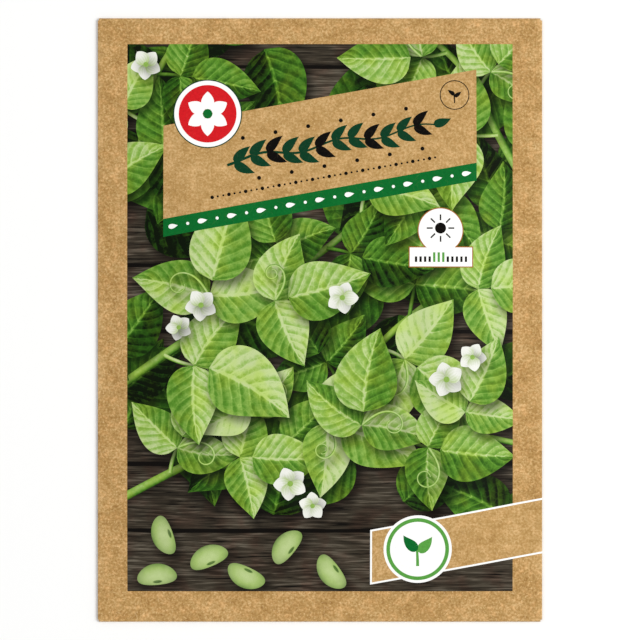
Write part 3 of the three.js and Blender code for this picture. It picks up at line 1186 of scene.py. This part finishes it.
def print_finishes(inks, blank):
    """Every ink by its name, the bare paper first."""
    leaf_stops = ((0.0, inks.leaf_deep), (0.3, inks.leaf_dark), (0.55, inks.leaf), (0.8, inks.leaf_light),
                  (1.0, inks.leaf_pale))
    board_stops = ((0.05, inks.board_dark), (0.48, inks.board), (0.85, inks.board_light))
    petal_stops = ((0.1, inks.petal_blush), (0.6, inks.petal))
    bean_stops = ((0.2, inks.leaf_dark), (0.72, inks.bean), (1.0, inks.leaf_pale))
    plain = {"strip": inks.strip_green, "seal": inks.seal_green, "sprig": inks.sprig_green,
             "white": inks.white, "red": inks.red, "black": inks.black, "brown": inks.brown,
             "heart": inks.leaf_light}
    finishes = {"kraft": kraft_finish("kraft_paper", inks, blank),
                "banner": kraft_finish("kraft_banner", inks, blank, contrast=0.7, lift=0.02)}
    for name, tone_of, stops, drift, shadow in (
            ("boards", board_tone, board_stops, inks.board_warm, inks.board_dark),
            ("leaf", leaf_tone, leaf_stops, inks.leaf_warm, inks.leaf_deep),
            ("stem", stem_tone, leaf_stops, inks.leaf_warm, inks.leaf_deep),
            ("petal", petal_tone, petal_stops, inks.petal, inks.leaf_deep),
            ("bean", bean_tone, bean_stops, inks.leaf_pale, inks.leaf_deep)):
        finishes[name] = printed_finish("printed_" + name, tone_of, stops, drift, shadow)
    for name, shade in plain.items():
        finishes[name] = ink_finish("ink_" + name, shade, inks)
    return finishes


def seed_finish(inks):
    """A smooth seed coat, faintly marbled, with a brown eye."""
    finish = Finish("bean_seed_coat")
    place = finish.node("TexCoord", {}, "Object")
    cloud = finish.noise(place, 420, 3, 0.55)
    lines = finish.noise(place, 900, 4, 0.6, 1.2).rise(0.5, 0.62)
    pale = [min(1.0, 1.12 * part) for part in inks.seed_coat]
    tan = [part * drop for part, drop in zip(inks.seed_coat, (0.82, 0.74, 0.62))]
    base = finish.mix(0.16 * lines, finish.mix(cloud, tan, pale), tan)
    base = finish.mix(finish.attribute("eye"), base, inks.seed_eye)
    return finish.surface(base, cloud.spread(0.28, 0.42), cloud, 0.03, Coat_Weight=0.15)


def floor_finish(stage):
    """A plain pale floor with the faintest unevenness."""
    finish = Finish("pale_floor")
    cloud = finish.noise(finish.node("TexCoord", {}, "Object"), 3.0, 3)
    base = finish.mix(cloud, stage.floor, [0.985 * part for part in stage.floor])
    return finish.surface(base, cloud.spread(0.7, 0.8), cloud, 0.02)


def place_object(name, data):
    """Puts a mesh, a light or a camera into the scene."""
    placed = bpy.data.objects.new(name, data)
    bpy.context.scene.collection.objects.link(placed)
    return placed


def dressed_piece(mesh, node):
    """Puts a finished piece into the scene, in the place of a node of the frame."""
    piece = place_object(mesh.name, mesh)
    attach(piece, "root")
    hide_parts(node)


class PACKET_OT_fold_paper(bpy.types.Operator):
    """Print the blank, fold it round the seeds and put it in the place of the packet's paper"""

    bl_idname = "seed_packet.fold_paper"
    bl_label = "Fold the printed paper"

    sharp_angle = math.radians(50)

    def execute(self, context):
        scene = context.scene
        blank = FoldedBlank(in_millimetres(scene.packet_sizes), [BeanPlace(node) for node in SEED_NODES])
        printed = PrintedMesh(blank, Front(in_millimetres(scene.print_sizes), blank))
        places, normals = blank.fold(printed.places)
        half = normals * blank.sizes.thickness / 2
        count = len(places)
        rim, _ = printed.rim()
        inner = printed.triangles[:, ::-1] + count
        cuts = np.column_stack((rim[:, ::-1], rim + count))
        mesh = bpy.data.meshes.new("printed_packet")
        mesh.from_pydata((np.vstack((places + half, places - half)) * MM).tolist(), [],
                         printed.triangles.tolist() + inner.tolist() + cuts.tolist())
        self.dress(mesh, printed, scene.print_colours)
        dressed_piece(mesh, PAPER_NODE)
        return {"FINISHED"}

    def dress(self, mesh, printed, inks):
        """Gives the mesh its inks, and its corners the values that the inks read."""
        finishes = print_finishes(inks, printed.blank)
        for finish in finishes.values():
            mesh.materials.append(finish)
        order = list(finishes)
        slots = np.zeros(len(mesh.polygons), int)
        slots[:len(printed.inks)] = [order.index(ink) for ink in printed.inks]
        mesh.polygons.foreach_set("material_index", slots)
        mesh.shade_smooth()
        mesh.set_sharp_from_angle(angle=self.sharp_angle)
        vertex = np.zeros(len(mesh.loops), int)
        mesh.loops.foreach_get("vertex_index", vertex)
        flat = printed.places[vertex % len(printed.places)] / UV_SPAN
        for name, places in (("blank", flat), ("OFBake", printed.texture_layout())):
            mesh.uv_layers.new(name=name, do_init=False).data.foreach_set("uv", places.ravel())
        for name, kind, field, values in (
                ("motif", "FLOAT_VECTOR", "vector", printed.motif_coordinates),
                ("shade", "FLOAT", "value", printed.shade),
                ("wear", "FLOAT", "value", printed.wear())):
            corners = np.zeros((len(mesh.loops), *values.shape[2:]))
            corners[:3 * len(values)] = values.reshape(-1, *values.shape[2:])
            mesh.attributes.new(name, kind, "CORNER").data.foreach_set(field, corners.ravel())


class PACKET_OT_fill_seeds(bpy.types.Operator):
    """Put a smooth bean with its eye in the place of each seed"""

    bl_idname = "seed_packet.fill_seeds"
    bl_label = "Fill in the seeds"

    rings = 40
    sides = 32
    curve = 0.16  # how far the ends bend towards the eye, as a share of the half width
    eye_halves = (1.25, 0.5)
    eye_depth = 0.26
    lip_height, lip_at, lip_width = 0.07, 1.5, 0.4  # the eye's lip, its place and width in eye halves

    def bean_mesh(self, name, bean):
        """A kidney-shaped bean. Its ends bend towards the eye, which lies in a shallow hollow."""
        polar = np.linspace(0, math.pi, self.rings + 1)[1:-1, None]
        turn = np.linspace(0, TURN, self.sides, endpoint=False)
        ring = np.stack(np.broadcast_arrays(
            np.cos(polar), np.sin(polar) * np.cos(turn), np.sin(polar) * np.sin(turn)), -1)
        along, width, depth = np.vstack((ring.reshape(-1, 3), ((1, 0, 0), (-1, 0, 0)))).T
        half_length, half_width, half_thickness = bean.halves
        x = along * half_length
        y = half_width / (1 + self.curve / 2) * (width + 2 * self.curve * (0.5 - along ** 2))
        z = depth * half_thickness
        distance = np.hypot(x / self.eye_halves[0], z / self.eye_halves[1])
        eye = np.exp(-distance ** 2) * (width < 0)
        lip = np.exp(-((distance - self.lip_at) / self.lip_width) ** 2) * (width < 0)
        y = y + self.eye_depth * eye - self.lip_height * lip
        places = np.column_stack((x, y, z)) @ bean.axes + bean.centre
        grid = np.arange(len(places) - 2).reshape(-1, self.sides)
        after = np.roll(grid, -1, 1)
        faces = np.stack((grid[:-1], grid[1:], after[1:], after[:-1]), -1).reshape(-1, 4).tolist()
        faces += [(len(places) - 2, *pair) for pair in zip(grid[0], after[0])]
        faces += [(len(places) - 1, *pair) for pair in zip(after[-1], grid[-1])]
        mesh = bpy.data.meshes.new(name)
        mesh.from_pydata((places * MM).tolist(), [], faces)
        mesh.shade_smooth()
        mesh.attributes.new("eye", "FLOAT", "POINT").data.foreach_set("value", eye ** 2)
        return mesh

    def execute(self, context):
        finish = seed_finish(context.scene.print_colours)
        for node in SEED_NODES:
            mesh = self.bean_mesh(node.replace("bean_seed", "smooth_bean"), BeanPlace(node))
            mesh.materials.append(finish)
            dressed_piece(mesh, node)
        return {"FINISHED"}


class PACKET_OT_set_stage(bpy.types.Operator):
    """Lay the floor, hang the lights and set the camera straight over the packet"""

    bl_idname = "seed_packet.set_stage"
    bl_label = "Set the stage"

    floor_half = 3.0
    floor_drop = 0.02 * MM  # under the packet, so that the two don't share a plane
    key_place, key_size = (0.95, 0.1, 1.25), 0.9
    fill_place, fill_size = (-0.9, -0.1, 1.3), 1.1
    sensor = 36.0  # width of the camera's film, in the lens's millimetres
    edge_height = 0.6 * MM  # of the packet's pressed edges, where the view's width is taken
    view_end = 20.0

    def add_light(self, name, place, size, power):
        light = bpy.data.lights.new(name, "AREA")
        light.shape = "DISK"
        light.size = size
        light.energy = power
        lamp = place_object(name, light)
        lamp.location = place
        lamp.rotation_euler = (-lamp.location).to_track_quat("-Z", "Y").to_euler()

    def execute(self, context):
        scene, stage = context.scene, context.scene.stage_settings
        corners = rectangle(-self.floor_half, -self.floor_half, self.floor_half, self.floor_half)
        mesh = bpy.data.meshes.new("floor")
        mesh.from_pydata([(x, y, 0) for x, y in corners], [], [(0, 1, 2, 3)])
        mesh.materials.append(floor_finish(stage))
        floor = place_object("floor", mesh)
        floor.location.z = PAPER_LOW.z - self.floor_drop
        self.add_light("key_light", self.key_place, self.key_size, stage.key_power)
        self.add_light("fill_light", self.fill_place, self.fill_size, stage.fill_power)
        scene.world = bpy.data.worlds.new("studio")
        scene.world.use_nodes = True
        sky = scene.world.node_tree.nodes["Background"].inputs
        sky["Color"].default_value = (1, 1, 1, 1)
        sky["Strength"].default_value = stage.sky
        camera = bpy.data.cameras.new("camera")
        camera.sensor_width = self.sensor
        camera.lens = stage.lens
        camera.clip_end = self.view_end
        scene.camera = place_object("camera", camera)
        scene.camera.location = (0, 0, self.edge_height + stage.view_width * stage.lens / self.sensor)
        scene.view_settings.view_transform = "Standard"
        return {"FINISHED"}


class PACKET_PT_panel(bpy.types.Panel):
    """The packet's pieces and their settings"""

    bl_idname = "PACKET_PT_panel"
    bl_label = "Seed packet"
    bl_space_type = "VIEW_3D"
    bl_region_type = "UI"
    bl_category = "Seed packet"

    def draw(self, context):
        for operator in OPERATORS:
            self.layout.operator(operator.bl_idname)
        for group in GROUPS:
            settings = getattr(context.scene, group)
            box = self.layout.box()
            box.label(text=group.replace("_", " ").capitalize())
            for name in settings.__annotations__:
                box.prop(settings, name)


GROUPS = {"packet_sizes": PacketSizes, "print_sizes": PrintSizes, "print_colours": PrintColours,
          "stage_settings": StageSettings}
OPERATORS = (PACKET_OT_fold_paper, PACKET_OT_fill_seeds, PACKET_OT_set_stage)


def register():
    for cls in (*GROUPS.values(), *OPERATORS, PACKET_PT_panel):
        bpy.utils.register_class(cls)
    for name, group in GROUPS.items():
        setattr(bpy.types.Scene, name, bpy.props.PointerProperty(type=group))


def unregister():
    for name in GROUPS:
        delattr(bpy.types.Scene, name)
    for cls in (PACKET_PT_panel, *reversed(OPERATORS), *reversed(GROUPS.values())):
        bpy.utils.unregister_class(cls)


def main():
    register()
    bpy.ops.seed_packet.fold_paper()
    bpy.ops.seed_packet.fill_seeds()
    bpy.ops.seed_packet.set_stage()


if __name__ == "__main__":
    main()
